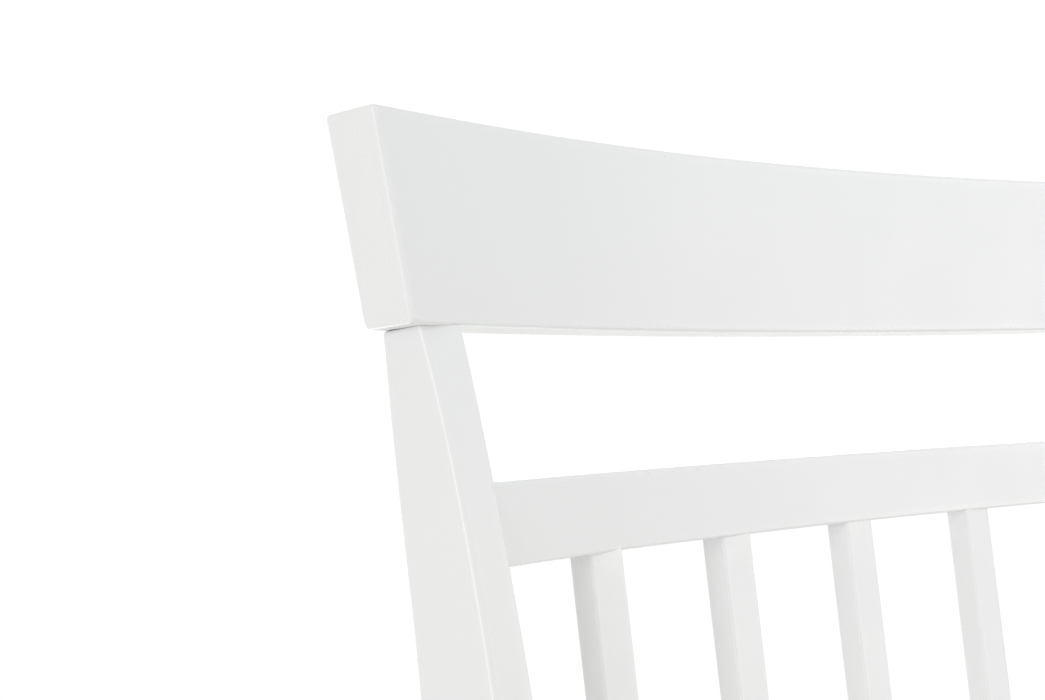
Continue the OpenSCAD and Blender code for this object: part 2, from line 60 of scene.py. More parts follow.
# the crest rail's place comes from its node's box: its lowest point is the back bottom edge at mid-length
_lo, _hi = box_mm("crest_rail")
CREST_Z = _lo.z + CREST_T * math.sin(rad(CREST_LEAN))
CREST_Y = 261.0
MID_Y, MID_Z = CREST_Y - 29.5, CREST_Z - 84.8
LOW_Z = 471.0
LOW_TOP_Y = MID_Y + 0.7 - (MID_Z - LOW_Z - LOW_H * math.cos(rad(LOW_LEAN))) * math.tan(rad(SP_LEAN))
LOW_Y = LOW_TOP_Y - 0.7 - LOW_H * math.sin(rad(LOW_LEAN))
BODY_Y = -20.0
BALANCE_Y = -19.2
LEG_X, LEG_Y, FOOT_Y = 247.0, BODY_Y - 255.0, BODY_Y + 153.0
TILT = 2.5
ROCKER_IN = ROCKER_R - ROCKER_H
SIDE_STR_Z, CROSS_STR_Z, REAR_STR_Y = 176.0, 232.0, BODY_Y + 129.0
APRON_BACK = (BODY_Y + 129.0, BODY_Y + 150.0)
APRON_FRONT = (LEG_Y - 14.0, LEG_Y + 8.0)


def seat_top(y):
    return 436.0 - (y - LEG_Y) * math.tan(rad(TILT))


def seat_low(y):
    return seat_top(y) - 25.0


def arm_top(y):
    return 667.0 - (y - LEG_Y) * math.tan(rad(TILT))


def rocker_top(y):
    return ROCKER_R - math.sqrt(ROCKER_IN**2 - (y - BALANCE_Y) ** 2)


def _slope(p, i):
    a, b = max(i - 1, 0), min(i + 1, len(p) - 1)
    return (p[b][1] - p[a][1]) / (p[b][0] - p[a][0])


def _seg(p, z):
    i = 0
    while i < len(p) - 2 and z < p[i + 1][0]:
        i += 1
    return i


def curve(p, z):
    i = _seg(p, z)
    h = p[i + 1][0] - p[i][0]
    t = (z - p[i][0]) / h
    a, b, m, n = p[i][1], p[i + 1][1], _slope(p, i) * h, _slope(p, i + 1) * h
    return (2 * t**3 - 3 * t**2 + 1) * a + (t**3 - 2 * t**2 + t) * m + (3 * t**2 - 2 * t**3) * b + (t**3 - t**2) * n


POST_FRONT = [(30, -19.5), (4, -28.2), (0, -29.5), (-20, -36.7), (-40, -44.6), (-60, -51.8), (-78, -57.4), (-100, -63.6),
              (-120, -68.8), (-156, -78), (-234, -97.6), (-312, -117.5), (-390, -137), (-468, -154), (-528, -164), (-600, -169.5),
              (-700, -166), (-800, -156), (-900, -145.5), (-960, -139)]
POST_BACK = [(30, -5), (4, -5.6), (0, -5.7), (-20, -7.7), (-40, -11.6), (-60, -16.1), (-78, -19.6), (-100, -23.8),
             (-120, -27.3), (-156, -35), (-234, -54.3), (-312, -74.5), (-390, -93), (-468, -109.5), (-528, -119), (-600, -126),
             (-700, -125.5), (-800, -119), (-900, -110.5), (-960, -105)]
POST_OUT = [(30, 276), (4, 272.9), (0, 272.3), (-20, 270.3), (-40, 269.8), (-60, 269.3), (-78, 268.5), (-100, 267.4),
            (-120, 266.3), (-234, 265.6), (-351, 265.3), (-528, 265), (-960, 263)]
POST_IN = [(30, 254.5), (4, 252.3), (0, 251.8), (-20, 250.9), (-40, 251), (-60, 250.7), (-78, 249.9), (-100, 248.6),
           (-120, 247.2), (-234, 240.5), (-351, 234), (-528, 230), (-960, 233)]


def front_y(z):
    return CREST_Y + curve(POST_FRONT, z - CREST_Z)


def back_y(z):
    return CREST_Y + curve(POST_BACK, z - CREST_Z)


def out_x(z):
    return curve(POST_OUT, z - CREST_Z)


def in_x(z):
    return curve(POST_IN, z - CREST_Z)


def leaned(x, y, z, y0, z0, lean):
    c, s = math.cos(rad(lean)), math.sin(rad(lean))
    return Vector((x, y0 + y * c + z * s, z0 - y * s + z * c))


# ---------------------------------------------------------------- mesh building, in mm
def ring(c, radii, n_arc=5, div=(0, 0, 0, 0), sup=3.0):
    """Points round a four-cornered section with rounded corners, and how near each is to an edge."""
    pts, edge = [], []
    for i in range(4):
        p, a, b = c[i], c[i - 1], c[(i + 1) % 4]
        e1, e2, r = (a - p).normalized(), (b - p).normalized(), radii[i]
        for k in range(n_arc + 1):
            t = math.pi / 2 * k / n_arc
            pts.append(p + e1 * r * (1 - math.sin(t)) + e2 * r * (1 - math.cos(t)))
            edge.append(0.45 + 0.55 * math.sin(2 * t))
        s, e = p + e2 * r, b - e2 * radii[(i + 1) % 4]
        f = min(0.33, sup / max((e - s).length, 0.01))
        ts = [f] + [f + (1 - 2 * f) * (j + 1) / (div[i] + 1) for j in range(div[i])] + [1 - f]
        for t in ts:
            pts.append(s.lerp(e, t))
            edge.append(0.0)
    return pts, edge


def shrink(c, d):
    ds = d if isinstance(d, (list, tuple)) else [d] * 4
    out = []
    for i in range(4):
        p = c[i]
        out.append(p + ((c[i - 1] - p).normalized() + (c[(i + 1) % 4] - p).normalized()) * ds[i])
    return out


def loft(stations, radii, end=(1.5, 1.5), n_arc=5, div=(0, 0, 0, 0), seed=0.0, vary=0.12, sup=3.0):
    """A bar through four-cornered sections. radii are the four long edges' roundings (numbers, or a function of how far
    along the bar, 0 to 1), end those of its two ends (a number, or one for each corner)."""
    bm = bmesh.new()
    lay = bm.verts.layers.float.new("edge")
    rows = []

    def rr(i, c):
        mid = sum(c, Vector()) / 4
        rs = radii(i / (len(stations) - 1)) if callable(radii) else radii
        return [r * (1 + vary * noise.noise(Vector((mid.x * 0.012 + k * 7.1 + seed, mid.y * 0.012, mid.z * 0.012)))) for k, r in enumerate(rs)]

    def end_rows(i, last, inner, re):
        re = list(re) if isinstance(re, (list, tuple)) else [re] * 4
        got = []
        for k in range(n_arc + 1):
            a = math.pi / 2 * k / n_arc
            c = [p + (q - p).normalized() * e * (1 - math.sin(a)) for p, q, e in zip(last, inner, re)]
            c = shrink(c, [e * (1 - math.cos(a)) for e in re])
            r = [max(x - e * (1 - math.cos(a)), x * 0.25, 0.1) for x, e in zip(rr(i, last), re)]
            got.append((c, r, 0.45 + 0.55 * math.sin(2 * a)))
        c = shrink(got[-1][0], min(2.2, got[-1][1][0] + 2.0))
        got.append((c, [max(x * 0.6, 0.1) for x in got[-1][1]], 0.0))
        return got

    first = end_rows(0, stations[0], stations[1], end[0])[::-1]
    tail = end_rows(len(stations) - 1, stations[-1], stations[-2], end[1])
    body = [(c, rr(i + 1, c), 0.0) for i, c in enumerate(stations[1:-1])]
    for c, r, ev in first + body + tail:
        pts, edge = ring(c, r, n_arc, div, sup)
        vs = []
        for p, e in zip(pts, edge):
            v = bm.verts.new(p * MM)
            v[lay] = max(e, ev)
            vs.append(v)
        rows.append(vs)
    m = len(rows[0])
    for a, b in zip(rows, rows[1:]):
        for i in range(m):
            bm.faces.new((a[i], a[(i + 1) % m], b[(i + 1) % m], b[i]))
    bm.faces.new(rows[0][::-1])
    bm.faces.new(rows[-1])
    bmesh.ops.recalc_face_normals(bm, faces=bm.faces)
    return bm


def inset_poly(p, d):
    """A closed 2-D outline moved inwards by d."""
    n = len(p)
    area = sum(p[i][0] * p[(i + 1) % n][1] - p[(i + 1) % n][0] * p[i][1] for i in range(n))
    sgn = 1 if area > 0 else -1
    out = []
    for i in range(n):
        a, b, c = Vector(p[i - 1]), Vector(p[i]), Vector(p[(i + 1) % n])
        u, v = (b - a).normalized(), (c - b).normalized()
        n1, n2 = Vector((-u.y, u.x)) * sgn, Vector((-v.y, v.x)) * sgn
        m = (n1 + n2) / max(1 + n1.dot(n2), 0.35)
        out.append((b.x + m.x * d, b.y + m.y * d))
    return out


def round_poly(p, r, n=5):
    """A closed outline with its corners rounded; r is one number or one for each corner."""
    out = []
    rs = r if isinstance(r, (list, tuple)) else [r] * len(p)
    for i in range(len(p)):
        a, b, c, q = Vector(p[i - 1]), Vector(p[i]), Vector(p[(i + 1) % len(p)]), rs[i]
        if q <= 0:
            out.append((b.x, b.y))
            continue
        e1, e2 = (a - b), (c - b)
        d = min(q, e1.length * 0.49, e2.length * 0.49)
        s, e = b + e1.normalized() * d, b + e2.normalized() * d
        for k in range(n + 1):
            t = k / n
            out.append(tuple(s * (1 - t) ** 2 + b * 2 * t * (1 - t) + e * t**2))
    return out


def plate(outline, place, w0, w1, r, n_arc=5):
    """A board: an outline taken from w0 to w1 by place(u, v, w), with its long edges rounded by r."""
    bm = bmesh.new()
    lay = bm.verts.layers.float.new("edge")
    steps = []
    for k in range(n_arc + 1):
        a = math.pi / 2 * k / n_arc
        steps.append((w0 + r * (1 - math.cos(a)), r * (1 - math.sin(a)), 0.45 + 0.55 * math.sin(2 * a)))
    tail = [(w1 - (w - w0), d, e) for w, d, e in steps[::-1]]
    sup = min(3.0, (w1 - w0 - 2 * r) * 0.3)
    steps = [(w0, r + 2.5, 0.0)] + steps + [(w0 + r + sup, 0.0, 0.0), (w1 - r - sup, 0.0, 0.0)] + tail + [(w1, r + 2.5, 0.0)]
    rows = []
    for w, d, e in steps:
        vs = []
        for u, v in (inset_poly(outline, d) if d > 0 else outline):
            x = bm.verts.new(place(u, v, w) * MM)
            x[lay] = e
            vs.append(x)
        rows.append(vs)
    m = len(outline)
    for a, b in zip(rows, rows[1:]):
        for i in range(m):
            bm.faces.new((a[i], a[(i + 1) % m], b[(i + 1) % m], b[i]))
    bm.faces.new(rows[0][::-1])
    bm.faces.new(rows[-1])
    bmesh.ops.recalc_face_normals(bm, faces=bm.faces)
    return bm


def wobble(bm, amp, wave, seed):
    """Sanded boards are never quite flat: moves each point along its normal by a smooth fraction of a millimetre."""
    bm.normal_update()
    for v in bm.verts:
        q = v.co / (wave * MM) + Vector((seed, seed * 0.7, -seed))
        v.co += v.normal * (noise.noise(q) * amp * MM)


def piece(name, bm, mat, node, mirror=False):
    if mirror:
        for v in bm.verts:
            v.co.x = -v.co.x
        bmesh.ops.reverse_faces(bm, faces=bm.faces)
    me = bpy.data.meshes.new(name)
    bm.to_mesh(me)
    bm.free()
    for p in me.polygons:
        p.use_smooth = True
    o = bpy.data.objects.new(name, me)
    bpy.context.scene.collection.objects.link(o)
    me.materials.append(mat)
    w = o.modifiers.new("normals", "WEIGHTED_NORMAL")
    w.mode, w.weight, w.keep_sharp = "FACE_AREA", 60, True
    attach(o, "root")
    if node:
        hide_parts(node)
    return o


# ---------------------------------------------------------------- materials
def _nodes(name):
    m = bpy.data.materials.new(name)
    m.use_nodes = True
    nt = m.node_tree
    nt.nodes.clear()
    out = nt.nodes.new("ShaderNodeOutputMaterial")
    bs = nt.nodes.new("ShaderNodeBsdfPrincipled")
    nt.links.new(bs.outputs[0], out.inputs[0])
    return m, nt, bs


class G:
    """A few shorthands for building a node tree."""

    def __init__(self, nt):
        self.nt = nt

    def new(self, kind, **kw):
        n = self.nt.nodes.new(kind)
        for k, v in kw.items():
            setattr(n, k, v)
        return n

    def put(self, sock, val):
        if isinstance(val, bpy.types.NodeSocket):
            self.nt.links.new(val, sock)
        else:
            sock.default_value = val

    def coords(self, scale, offset=(0, 0, 0)):
        tc = self.new("ShaderNodeTexCoord")
        mp = self.new("ShaderNodeMapping")
        mp.inputs["Location"].default_value = offset
        mp.inputs["Scale"].default_value = scale
        self.nt.links.new(tc.outputs["Object"], mp.inputs["Vector"])
        return mp.outputs[0]

    def noise(self, vec, scale, detail=3.0, rough=0.5, dist=0.0):
        n = self.new("ShaderNodeTexNoise")
        self.put(n.inputs["Vector"], vec)
        n.inputs["Scale"].default_value = scale
        n.inputs["Detail"].default_value = detail
        n.inputs["Roughness"].default_value = rough
        n.inputs["Distortion"].default_value = dist
        return n.outputs["Fac"]

    def range(self, v, a, b, c, d, smooth=False):
        n = self.new("ShaderNodeMapRange")
        n.interpolation_type = "SMOOTHSTEP" if smooth else "LINEAR"
        self.put(n.inputs["Value"], v)
        for k, x in (("From Min", a), ("From Max", b), ("To Min", c), ("To Max", d)):
            n.inputs[k].default_value = x
        return n.outputs["Result"]

    def math(self, op, a, b=0.0, c=0.0):
        n = self.new("ShaderNodeMath", operation=op)
        for s, v in zip(n.inputs, (a, b, c)):
            self.put(s, v)
        return n.outputs[0]

    def mix(self, fac, a, b):
        n = self.new("ShaderNodeMix", data_type="RGBA")
        self.put(n.inputs["Factor"], fac)
        self.put([s for s in n.inputs if s.name == "A" and s.type == "RGBA"][0], a)
        self.put([s for s in n.inputs if s.name == "B" and s.type == "RGBA"][0], b)
        return [s for s in n.outputs if s.type == "RGBA"][0]

    def attr(self, name):
        n = self.new("ShaderNodeAttribute", attribute_name=name)
        return n.outputs["Fac"]

    def bump(self, height, strength, distance, normal=None):
        n = self.new("ShaderNodeBump")
        n.inputs["Strength"].default_value = strength
        n.inputs["Distance"].default_value = distance
        self.put(n.inputs["Height"], height)
        if normal is not None:
            self.put(n.inputs["Normal"], normal)
        return n.outputs[0]


PAINT = (0.800, 0.806, 0.814)


def paint(name, axis, edge="edge"):
    """White satin paint over sanded hardwood; the wood's grain runs along axis and just shows in the paint."""
    m, nt, bs = _nodes(name)
    g = G(nt)
    along, across = 6.0, 150.0
    sc = [across] * 3
    sc[axis] = along
    grain_v = g.coords(sc, (1.7, 3.1, 5.3))
    plain = g.coords((1, 1, 1))
    # colour: broad drift, faint grain lines, and fine specks
    drift = g.noise(plain, 7.0, 2.0, 0.5)
    grain = g.noise(grain_v, 3.0, 4.0, 0.62, 0.35)
    speck = g.noise(plain, 420.0, 2.0, 0.6)
    base = g.mix(g.range(drift, 0.3, 0.7, 0.0, 1.0), (*[c * 0.992 for c in PAINT], 1), (PAINT[0] * 1.005, PAINT[1] * 1.004, PAINT[2] * 1.0, 1))
    base = g.mix(g.range(grain, 0.25, 0.75, 0.06, 0.0), base, (PAINT[0] * 0.93, PAINT[1] * 0.925, PAINT[2] * 0.91, 1))
    e = g.attr(edge)
    # painted highlight: the base colour is lightened along the arrises, broken up by noise, in place of the bright
    # highlight lines there; the paint is rubbed through here and there in specks a fraction of a millimetre wide
    arris_highlight_mask = g.math("MULTIPLY", e, g.range(g.noise(plain, 60.0, 3.0, 0.6), 0.35, 0.7, 0.35, 1.0))
    # painted highlight: mixes the arrises towards a paler white
    base = g.mix(g.math("MULTIPLY", arris_highlight_mask, 0.35), base, (0.86, 0.865, 0.87, 1))
    chip = g.math("MULTIPLY", g.range(e, 0.7, 1.0, 0.0, 1.0), g.range(g.noise(plain, 330.0, 3.0, 0.7), 0.70, 0.76, 0.0, 1.0))
    base = g.mix(g.math("MULTIPLY", chip, 0.2), base, (0.55, 0.52, 0.47, 1))
    g.put(bs.inputs["Base Color"], base)
    rough = g.range(g.noise(plain, 24.0, 4.0, 0.6), 0.25, 0.75, 0.30, 0.42)
    rough = g.math("SUBTRACT", rough, g.math("MULTIPLY", e, 0.18))
    rough = g.math("ADD", rough, g.range(speck, 0.3, 0.7, -0.02, 0.03))
    g.put(bs.inputs["Roughness"], rough)
    bs.inputs["IOR"].default_value = 1.47
    bs.inputs["Specular IOR Level"].default_value = 0.45
    # relief: sanding waves, grain telegraphing through the coat, and the spray's fine orange peel
    n = g.bump(g.noise(plain, 18.0, 2.0, 0.5), 0.3, 0.0007)
    n = g.bump(grain, 0.25, 0.00014, n)
    n = g.bump(g.noise(plain, 520.0, 2.0, 0.5), 0.25, 0.00005, n)
    g.put(bs.inputs["Normal"], n)
    return m


def bare(name):
    m, nt, bs = _nodes(name)
    g = G(nt)
    v = g.coords((90.0, 90.0, 7.0), (0.3, 0.8, 1.1))
    grain = g.noise(v, 2.2, 6.0, 0.65, 0.6)
    pores = g.noise(g.coords((700.0, 700.0, 60.0)), 1.0, 3.0, 0.6)
    c = g.mix(g.range(grain, 0.3, 0.7, 0.0, 1.0), (0.50, 0.345, 0.195, 1), (0.64, 0.475, 0.295, 1))
    c = g.mix(g.range(pores, 0.58, 0.72, 0.0, 0.55), c, (0.30, 0.19, 0.10, 1))
    g.put(bs.inputs["Base Color"], c)
    g.put(bs.inputs["Roughness"], g.range(pores, 0.3, 0.7, 0.55, 0.74))
    n = g.bump(grain, 0.3, 0.0004)
    n = g.bump(pores, 0.3, 0.00015, n)
    g.put(bs.inputs["Normal"], n)
    return m


def metal(name):
    m, nt, bs = _nodes(name)
    g = G(nt)
    plain = g.coords((1, 1, 1))
    cloud = g.noise(plain, 90.0, 4.0, 0.6)
    c = g.mix(g.range(cloud, 0.3, 0.7, 0.0, 1.0), (0.55, 0.56, 0.585, 1), (0.72, 0.725, 0.735, 1))
    g.put(bs.inputs["Base Color"], c)
    bs.inputs["Metallic"].default_value = 1.0
    scratch = g.noise(g.coords((900.0, 900.0, 60.0)), 1.0, 3.0, 0.6)
    g.put(bs.inputs["Roughness"], g.range(scratch, 0.3, 0.7, 0.26, 0.44))
    g.put(bs.inputs["Normal"], g.bump(scratch, 0.25, 0.00006))
    return m


def cap_plastic(name):
    m, nt, bs = _nodes(name)
    g = G(nt)
    plain = g.coords((1, 1, 1))
    fine = g.noise(plain, 1400.0, 2.0, 0.5)
    c = g.mix(g.noise(plain, 120.0, 3.0, 0.5), (0.79, 0.795, 0.80, 1), (0.82, 0.82, 0.825, 1))
    g.put(bs.inputs["Base Color"], c)
    g.put(bs.inputs["Roughness"], g.range(fine, 0.3, 0.7, 0.44, 0.56))
    g.put(bs.inputs["Normal"], g.bump(fine, 0.3, 0.00004))
    return m


paint_x, paint_y, paint_z = paint("paint_x", 0), paint("paint_y", 1), paint("paint_z", 2)
wood, steel, plastic = bare("bare_beech"), metal("zinc_steel"), cap_plastic("cap_white")


# ---------------------------------------------------------------- crest rail
def band_y(x, r):
    return -r + math.sqrt(r * r - x * x)


def band_back(x, r, t):
    return -r + math.sqrt((r + t) ** 2 - x * x)


def crest():
    st = []
    top_half = CREST_HALF + CREST_H * math.tan(rad(CREST_FLARE))
    n = 72
    us = [-1 + 2 * i / n for i in range(n + 1)]
    us = [-1, -0.983] + us[1:-1] + [0.983, 1]
    for u in us:
        xb, xt = u * CREST_HALF, u * top_half
        e = 0.5 * max(0.0, (abs(u) - 0.8) / 0.2) ** 2  # the ends are a hair thicker
        st.append([
            leaned(xb, band_y(xb, CREST_R), 0, CREST_Y, CREST_Z, CREST_LEAN),
            leaned(xt, band_y(xt, CREST_R), CREST_H, CREST_Y, CREST_Z, CREST_LEAN),
            leaned(xt, band_back(xt, CREST_R, CREST_T) + e, CREST_H, CREST_Y, CREST_Z, CREST_LEAN),
            leaned(xb, band_back(xb, CREST_R, CREST_T) + e, 0, CREST_Y, CREST_Z, CREST_LEAN),
        ])
    def radii(t):
        near = max(0.0, 1 - min(t, 1 - t) * 2 * CREST_HALF / 16.0)  # 1 at an end, 0 from 16 mm in
        return (1.5 + 1.5 * near, 1.6 + 0.3 * near, 1.8 + 0.3 * near, 1.9 + 1.2 * near)

    ends = (2.2, 2.0, 1.4, 1.6)
    bm = loft(st, radii, (ends, ends), n_arc=7, div=(5, 1, 5, 1), seed=3.0)
    wobble(bm, 0.09, 70, 2.0)
    return bm


piece("crest_rail_board", crest(), paint_x, "crest_rail")


# ---------------------------------------------------------------- back posts
def post():
    st = []
    tl = math.tan(rad(CREST_LEAN))

    def top(fn):
        z = CREST_Z
        for _ in range(30):
            z = CREST_Z - (fn(z) - CREST_Y) * tl
        return z

    zf, zb = top(front_y) + 0.3, top(back_y) + 0.3
    low_f, low_b = rocker_top(front_y(42)), rocker_top(back_y(42))
    n = 56
    for i in range(n + 1):
        t = i / n
        a, b = zf + (low_f - zf) * t, zb + (low_b - zb) * t
        gap = 1.0 if i == 0 else 0.0
        a0, b0 = a - 0.22 * gap, b - 0.55 * gap
        st.append([
            Vector((out_x(a0), front_y(a0), a0)),
            Vector((in_x(a), front_y(a), a)),
            Vector((in_x(b), back_y(b), b)),
            Vector((out_x(b0), back_y(b0), b0)),
        ])
    bm = loft(st, (2.0, 1.3, 1.7, 1.9), ((0.5, 0.25, 0.5, 1.7), 0.4), n_arc=7, div=(1, 1, 1, 1), seed=11.0, vary=0.12)
    wobble(bm, 0.08, 60, 5.0)
    return bm


piece("back_post_left_bar", post(), paint_z, "back_post_left", mirror=True)
piece("back_post_right_bar", post(), paint_z, "back_post_right")


# ---------------------------------------------------------------- back rails
def rail(y0, z0, lean, cut, h, seed):
    """A curved rail: its faces lean back by lean, its upper and lower edges slope by cut."""
    d = rad(lean - cut)
    n = 56

    def pt(x, face, up):
        return leaned(x, face, face * math.tan(d) + up / math.cos(d), y0, z0, lean)

    def half(face, up):
        # where this edge meets the post's inner face, a little inside it
        x = in_x(z0)
        for _ in range(6):
            x = in_x(pt(x, face(x), up).z)
        return x + 2.0

    edges = (
        (lambda x: band_y(x, RAIL_R), 0.0), (lambda x: band_y(x, RAIL_R), h),
        (lambda x: band_back(x, RAIL_R, RAIL_T), h), (lambda x: band_back(x, RAIL_R, RAIL_T), 0.0),
    )
    halves = [half(f, up) for f, up in edges]
    us = [-1, -0.985] + [-1 + 2 * i / n for i in range(1, n)] + [0.985, 1]

    def deep(u, up):
        # the lower edge swells a hair towards the ends
        return up - (0.45 * max(0.0, (abs(u) - 0.72) / 0.28) if up == 0 else 0)

    st = [[pt(u * w, f(u * w), deep(u, up)) for (f, up), w in zip(edges, halves)] for u in us]
    bm = loft(st, (1.3, 1.4, 1.7, 1.5), (0.25, 0.25), n_arc=5, div=(2, 0, 2, 0), seed=seed, vary=0.2)
    wobble(bm, 0.07, 60, seed)
    return bm


piece("mid_rail_board", rail(MID_Y, MID_Z, MID_LEAN, MID_CUT, MID_H, 21.0), paint_x, "mid_rail")
piece("lower_back_rail_board", rail(LOW_Y, LOW_Z, LOW_LEAN, LOW_LEAN, LOW_H, 25.0), paint_x, "lower_back_rail")


# ---------------------------------------------------------------- spindles
SP_LEN = (MID_Z - LOW_Z - LOW_H * math.cos(rad(LOW_LEAN))) / math.cos(rad(SP_LEAN))


def spindle(k):
    x0 = k * PITCH
    y0 = MID_Y + band_y(x0, RAIL_R)
    roll = Matrix.Rotation(rad(k * 0.2), 4, "Y")
    lean = Matrix.Rotation(rad(-SP_LEAN), 4, "X")
    m = Matrix.Translation((x0, y0, MID_Z)) @ lean @ roll
    st = []
    n = 24
    w = SP_W / 2
    for i in range(n + 1):
        z = 4.0 - (SP_LEN + 8.0) * i / n
        st.append([m @ Vector((-w, 0.7, z)), m @ Vector((w, 0.7, z)), m @ Vector((w, 0.7 + SP_D, z)), m @ Vector((-w, 0.7 + SP_D, z))])
    bm = loft(st, (1.0, 1.1, 1.3, 1.3), (0.3, 0.3), n_arc=5, seed=31.0 + k, vary=0.2, sup=1.6)
    wobble(bm, 0.07, 45, 8.0 + k * 3)
    return bm


for k in range(-2, 3):
    piece(f"spindle_{k + 3}_slat", spindle(k), paint_z, f"spindle_{k + 3}")


# ---------------------------------------------------------------- front legs
def leg():
    def half(z):
        pts = [(20, 15), (370, LEG_W / 2), (440, LEG_W / 2), (700, 15)]
        for (a, b), (c, d) in zip(pts, pts[1:]):
            if z <= c:
                return b + (d - b) * (z - a) / (c - a)
        return 15

    top = arm_top(LEG_Y) - ARM_T
    low = rocker_top(LEG_Y)
    st = []
    zs = [low, low + 8] + [low + 8 + (350 - low) * i / 11 for i in range(1, 12)] + [366, 405, 444] + [450 + (top - 460) * i / 8 for i in range(1, 8)] + [top - 6, top]
    sl, sr = math.tan(rad(TILT)), (rocker_top(LEG_Y + 10) - rocker_top(LEG_Y - 10)) / 20
    for z in zs:
        h = half(z)
        t = (z - low) / (top - low)
        f = -sl * t**4 + sr * (1 - t) ** 4
        st.append([
            Vector((LEG_X + h, LEG_Y - h, z - h * f)),
            Vector((LEG_X - h, LEG_Y - h, z - h * f)),
            Vector((LEG_X - h, LEG_Y + h, z + h * f)),
            Vector((LEG_X + h, LEG_Y + h, z + h * f)),
        ])
    bm = loft(st, (2.6, 2.6, 2.6, 2.6), (0.3, 0.4), n_arc=5, seed=41.0, vary=0.15)
    wobble(bm, 0.08, 60, 9.0)
    return bm


piece("front_leg_left_bar", leg(), paint_z, "front_leg_left", mirror=True)
piece("front_leg_right_bar", leg(), paint_z, "front_leg_right")


# ---------------------------------------------------------------- arms
ARM_OUT = [(190, 270), (60, 276), (-80, 285), (-200, 290), (-280, 290)]


def arm():
    zm = arm_top(BODY_Y + 155) - ARM_T / 2
    ye = front_y(zm) + 0.1
    out = [(curve(ARM_OUT, y), BODY_Y + y) for y in [float(v) for v in range(140, -260, -20)]]
    out = [(curve(ARM_OUT, ye - BODY_Y), ye)] + [p for p in out if p[1] < ye - 4]
    out += [(262 + 28 * math.cos(rad(a)), BODY_Y - 280 + 28 * math.sin(rad(a))) for a in range(0, -91, -9)]
    out += [(249 + 20 * math.cos(rad(a)), BODY_Y - 288 + 20 * math.sin(rad(a))) for a in range(-99, -181, -9)]
    out += [(229, BODY_Y + y) for y in range(-260, 141, 40) if BODY_Y + y < ye - 4] + [(229, ye)]

    def place(u, v, w):
        z = arm_top(v) - w
        t = max(0.0, min(1.0, (v - (ye - 40)) / 40))
        return Vector((u, v + t * (front_y(z) - front_y(zm)), z))

    bm = plate(out, place, 0.0, ARM_T, 4.5, 6)
    wobble(bm, 0.08, 60, 12.0)
    return bm


piece("arm_left_board", arm(), paint_y, "arm_left", mirror=True)
piece("arm_right_board", arm(), paint_y, "arm_right")


# ---------------------------------------------------------------- rockers
def rocker():
    mid = ROCKER_R - ROCKER_H / 2
    er = ROCKER_H / 2
    a0 = math.asin((ROCKER_LEN / 2 - er - 0.6 + BALANCE_Y) / mid)
    a1 = math.asin((ROCKER_LEN / 2 - er - 0.6 - BALANCE_Y) / mid)
    out = []

    def at(ang, rr):
        return (BALANCE_Y + rr * math.sin(ang), ROCKER_R - rr * math.cos(ang))

    n = 64
    for i in range(n + 1):
        out.append(at(-a0 + (a0 + a1) * i / n, ROCKER_R))
    for k in range(1, 16):
        p = -math.pi / 2 + math.pi * k / 16
        cy, cz = at(a1, mid)
        t = (math.cos(a1), math.sin(a1))
        q = (-math.sin(a1), math.cos(a1))
        out.append((cy + er * (math.cos(p) * t[0] + math.sin(p) * q[0]), cz + er * (math.cos(p) * t[1] + math.sin(p) * q[1])))
    for i in range(n + 1):
        out.append(at(a1 - (a0 + a1) * i / n, ROCKER_IN))
    for k in range(1, 16):
        p = math.pi / 2 - math.pi * k / 16
        cy, cz = at(-a0, mid)
        t = (-math.cos(a0), math.sin(a0))
        q = (math.sin(a0), math.cos(a0))
        out.append((cy + er * (math.cos(p) * t[0] + math.sin(p) * q[0]), cz + er * (math.cos(p) * t[1] + math.sin(p) * q[1])))
    bm = plate(out, lambda u, v, w: Vector((w, u, v)), LEG_X - ROCKER_W / 2, LEG_X + ROCKER_W / 2, 3.0, 5)
    return bm


piece("rocker_left_board", rocker(), paint_y, "rocker_left", mirror=True)
piece("rocker_right_board", rocker(), paint_y, "rocker_right")


# ---------------------------------------------------------------- stretchers and seat rails
def straight(a, b, r, seed, n=20, end=0.25):
    """A straight bar between two four-cornered ends."""
    st = [[p.lerp(q, i / n) for p, q in zip(a, b)] for i in range(n + 1)]
    bm = loft(st, (r, r, r, r), (end, end), n_arc=5, seed=seed, vary=0.15)
    wobble(bm, 0.08, 55, seed)
    return bm


def leg_half(z):
    return 15 + (LEG_W / 2 - 15) * min(1.0, (z - 20) / 350)


def side_stretcher():
    z0, z1 = SIDE_STR_Z, SIDE_STR_Z + 30
    a = [Vector((LEG_X + sx * 9, LEG_Y + leg_half(z) - 0.5, z)) for sx, z in ((1, z0), (-1, z0), (-1, z1), (1, z1))]
    b = [Vector((LEG_X + sx * 9, front_y(z) + 0.5, z)) for sx, z in ((1, z0), (-1, z0), (-1, z1), (1, z1))]
    return straight(a, b, 2.4, 51.0)


def front_stretcher():
    z0, z1 = CROSS_STR_Z, CROSS_STR_Z + 30
    a = [Vector((-LEG_X + leg_half(z) - 0.5, LEG_Y + sy * 9, z)) for sy, z in ((-1, z0), (1, z0), (1, z1), (-1, z1))]
    b = [Vector((LEG_X - leg_half(z) + 0.5, LEG_Y + sy * 9, z)) for sy, z in ((-1, z0), (1, z0), (1, z1), (-1, z1))]
    return straight(a, b, 2.4, 53.0)


def rear_stretcher():
    z0, z1 = CROSS_STR_Z, CROSS_STR_Z + 30
    a = [Vector((-in_x(z) - 0.5, REAR_STR_Y + sy, z)) for sy, z in ((0, z0), (18, z0), (18, z1), (0, z1))]
    b = [Vector((in_x(z) + 0.5, REAR_STR_Y + sy, z)) for sy, z in ((0, z0), (18, z0), (18, z1), (0, z1))]
    return straight(a, b, 2.4, 55.0)


